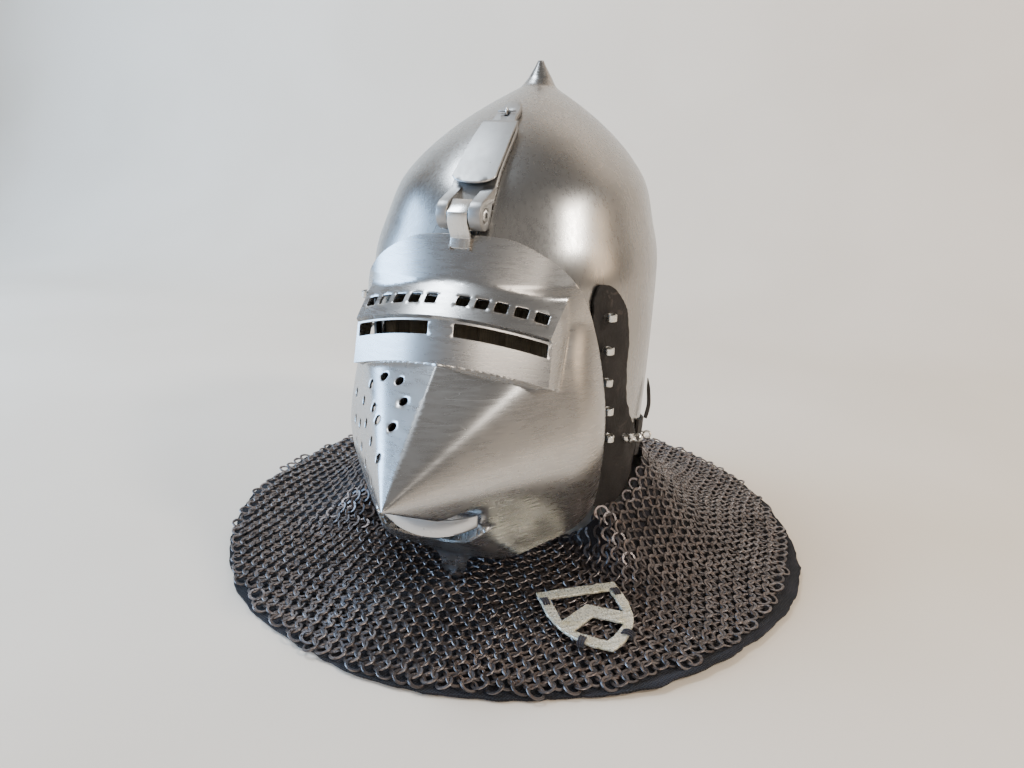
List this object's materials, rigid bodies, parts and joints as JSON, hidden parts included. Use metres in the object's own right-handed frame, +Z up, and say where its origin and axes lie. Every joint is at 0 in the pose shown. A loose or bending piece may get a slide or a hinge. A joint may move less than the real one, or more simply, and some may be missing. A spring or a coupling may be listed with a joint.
{
  "type": "knight helmet",
  "caption": "Pointed-visor bascinet in satin steel with a brow hinge, a leather band on vervelles, and a dark riveted mail aventail spread on its cloth lining.",
  "frame": {"origin": "on the table, under the middle of the aventail disc", "axes": "+Z up, the face and the snout towards -Y, +X towards the wearer's left"},
  "size_m": [0.4556, 0.458, 0.357],
  "materials": {
    "polished_steel": "satin polished, with fine vertical brushing and small pits",
    "hinge_steel": "matt grey, ground",
    "bright_steel": "bright turned",
    "dark_mail": "dark oiled iron rings with rubbed bright edges",
    "worn_leather": "dark worn leather",
    "black_cloth": "black woven cloth",
    "undyed_linen": "quilted undyed linen",
    "silver_finish": "coarse silver glitter"
  },
  "bodies": {
    "helmet": {"aventail_lining": "black_cloth", "aventail_mail": "dark_mail", "badge_shield": "silver_finish", "chin_buckle": "bright_steel", "chin_strap_left": "worn_leather", "chin_strap_right": "worn_leather", "helmet_liner": "undyed_linen", "hinge_base": "hinge_steel", "hinge_cover_plate": "hinge_steel", "hinge_lock_pin": "hinge_steel", "hinge_pin": "bright_steel", "hinge_staple": "bright_steel", "leather_nape_band": "worn_leather", "leather_strip_left": "worn_leather", "leather_strip_right": "worn_leather", "leather_thong": "worn_leather", "skull": "polished_steel", "vervelle_left_01": "bright_steel", "vervelle_left_02": "bright_steel", "vervelle_left_03": "bright_steel", "vervelle_left_04": "bright_steel", "vervelle_left_05": "bright_steel", "vervelle_left_06": "bright_steel", "vervelle_left_07": "bright_steel", "vervelle_left_08": "bright_steel", "vervelle_left_09": "bright_steel", "vervelle_left_10": "bright_steel", "vervelle_nape": "bright_steel", "vervelle_right_01": "bright_steel", "vervelle_right_02": "bright_steel", "vervelle_right_03": "bright_steel", "vervelle_right_04": "bright_steel", "vervelle_right_05": "bright_steel", "vervelle_right_06": "bright_steel", "vervelle_right_07": "bright_steel", "vervelle_right_08": "bright_steel", "vervelle_right_09": "bright_steel", "vervelle_right_10": "bright_steel"},
    "visor": {"visor_shell": "polished_steel", "mouth_guard": "polished_steel", "hinge_leaf": "bright_steel"}
  },
  "joints": [
    {"name": "visor_hinge", "type": "hinge", "parent": "helmet", "child": "visor", "pos_m": [0, -0.1045, 0.2545], "axis": [-1, 0, 0], "range_deg": [0, 105]}
  ]
}
